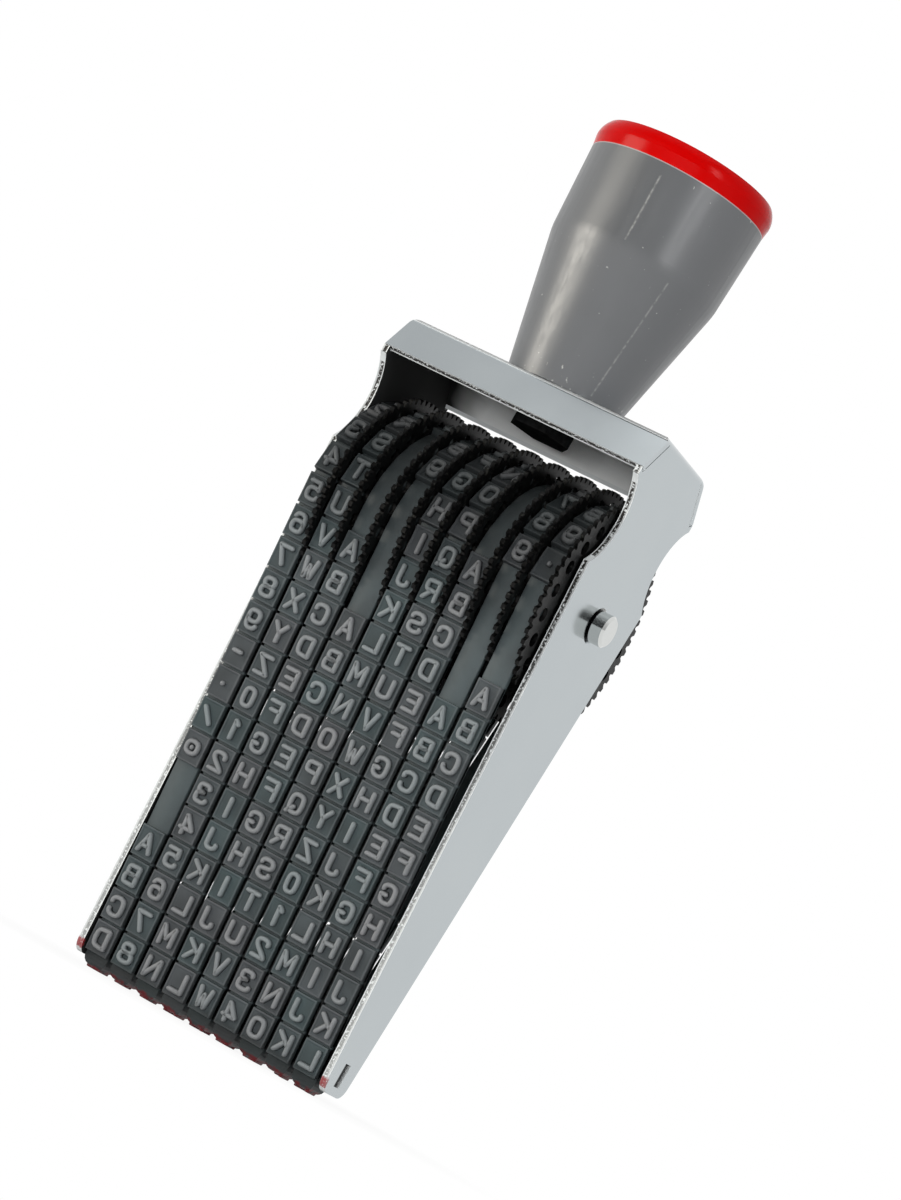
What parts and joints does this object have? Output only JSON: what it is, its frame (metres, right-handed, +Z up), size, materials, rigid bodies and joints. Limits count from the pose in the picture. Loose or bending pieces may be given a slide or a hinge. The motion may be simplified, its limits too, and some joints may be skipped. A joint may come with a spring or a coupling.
{
  "type": "roller stamp",
  "caption": "Hand stamp with side-by-side endless rubber type bands on toothed setting wheels, held in a bent chromed frame under a flared grey grip with a red cap",
  "frame": {"origin": "centre of the print plane under the middle of the stamp: the faces of the characters in the print row are at z = 0", "axes": "X along the axle, +X to the side of a wheel that has its toothed flange; -Y is the front that the picture shows; +Z up through the grip"},
  "size_m": [0.0466, 0.0346, 0.1364],
  "materials": {
    "chromed_sheet": "bright plated sheet",
    "grip_plastic": "glossy grey moulding",
    "cap_plastic": "glossy red moulding",
    "blackened_steel": "blackened",
    "pin_steel": "turned",
    "platen_steel": "plain",
    "wheel_plastic": "black moulding",
    "band_rubber": "moulded dark grey rubber"
  },
  "bodies": {
    "stamp": {"frame": "chromed_sheet", "handle": "grip_plastic", "handle_cap": "cap_plastic", "handle_screw": "blackened_steel", "axle": "pin_steel", "platen": "platen_steel", "band_1": "band_rubber", "band_2": "band_rubber", "band_3": "band_rubber", "band_4": "band_rubber", "band_5": "band_rubber", "band_6": "band_rubber", "band_7": "band_rubber", "band_8": "band_rubber", "band_9": "band_rubber"},
    "wheel_1": {"wheel_1": "wheel_plastic"},
    "wheel_2": {"wheel_2": "wheel_plastic"},
    "wheel_3": {"wheel_3": "wheel_plastic"},
    "wheel_4": {"wheel_4": "wheel_plastic"},
    "wheel_5": {"wheel_5": "wheel_plastic"},
    "wheel_6": {"wheel_6": "wheel_plastic"},
    "wheel_7": {"wheel_7": "wheel_plastic"},
    "wheel_8": {"wheel_8": "wheel_plastic"},
    "wheel_9": {"wheel_9": "wheel_plastic"}
  },
  "joints": [
    {"name": "wheel_1_turn", "type": "hinge", "parent": "stamp", "child": "wheel_1", "pos_m": [0, 0, 0.07275], "axis": [1, 0, 0], "continuous": true},
    {"name": "wheel_2_turn", "type": "hinge", "parent": "stamp", "child": "wheel_2", "pos_m": [0, 0, 0.07275], "axis": [1, 0, 0], "continuous": true},
    {"name": "wheel_3_turn", "type": "hinge", "parent": "stamp", "child": "wheel_3", "pos_m": [0, 0, 0.07275], "axis": [1, 0, 0], "continuous": true},
    {"name": "wheel_4_turn", "type": "hinge", "parent": "stamp", "child": "wheel_4", "pos_m": [0, 0, 0.07275], "axis": [1, 0, 0], "continuous": true},
    {"name": "wheel_5_turn", "type": "hinge", "parent": "stamp", "child": "wheel_5", "pos_m": [0, 0, 0.07275], "axis": [1, 0, 0], "continuous": true},
    {"name": "wheel_6_turn", "type": "hinge", "parent": "stamp", "child": "wheel_6", "pos_m": [0, 0, 0.07275], "axis": [1, 0, 0], "continuous": true},
    {"name": "wheel_7_turn", "type": "hinge", "parent": "stamp", "child": "wheel_7", "pos_m": [0, 0, 0.07275], "axis": [1, 0, 0], "continuous": true},
    {"name": "wheel_8_turn", "type": "hinge", "parent": "stamp", "child": "wheel_8", "pos_m": [0, 0, 0.07275], "axis": [1, 0, 0], "continuous": true},
    {"name": "wheel_9_turn", "type": "hinge", "parent": "stamp", "child": "wheel_9", "pos_m": [0, 0, 0.07275], "axis": [1, 0, 0], "continuous": true}
  ]
}
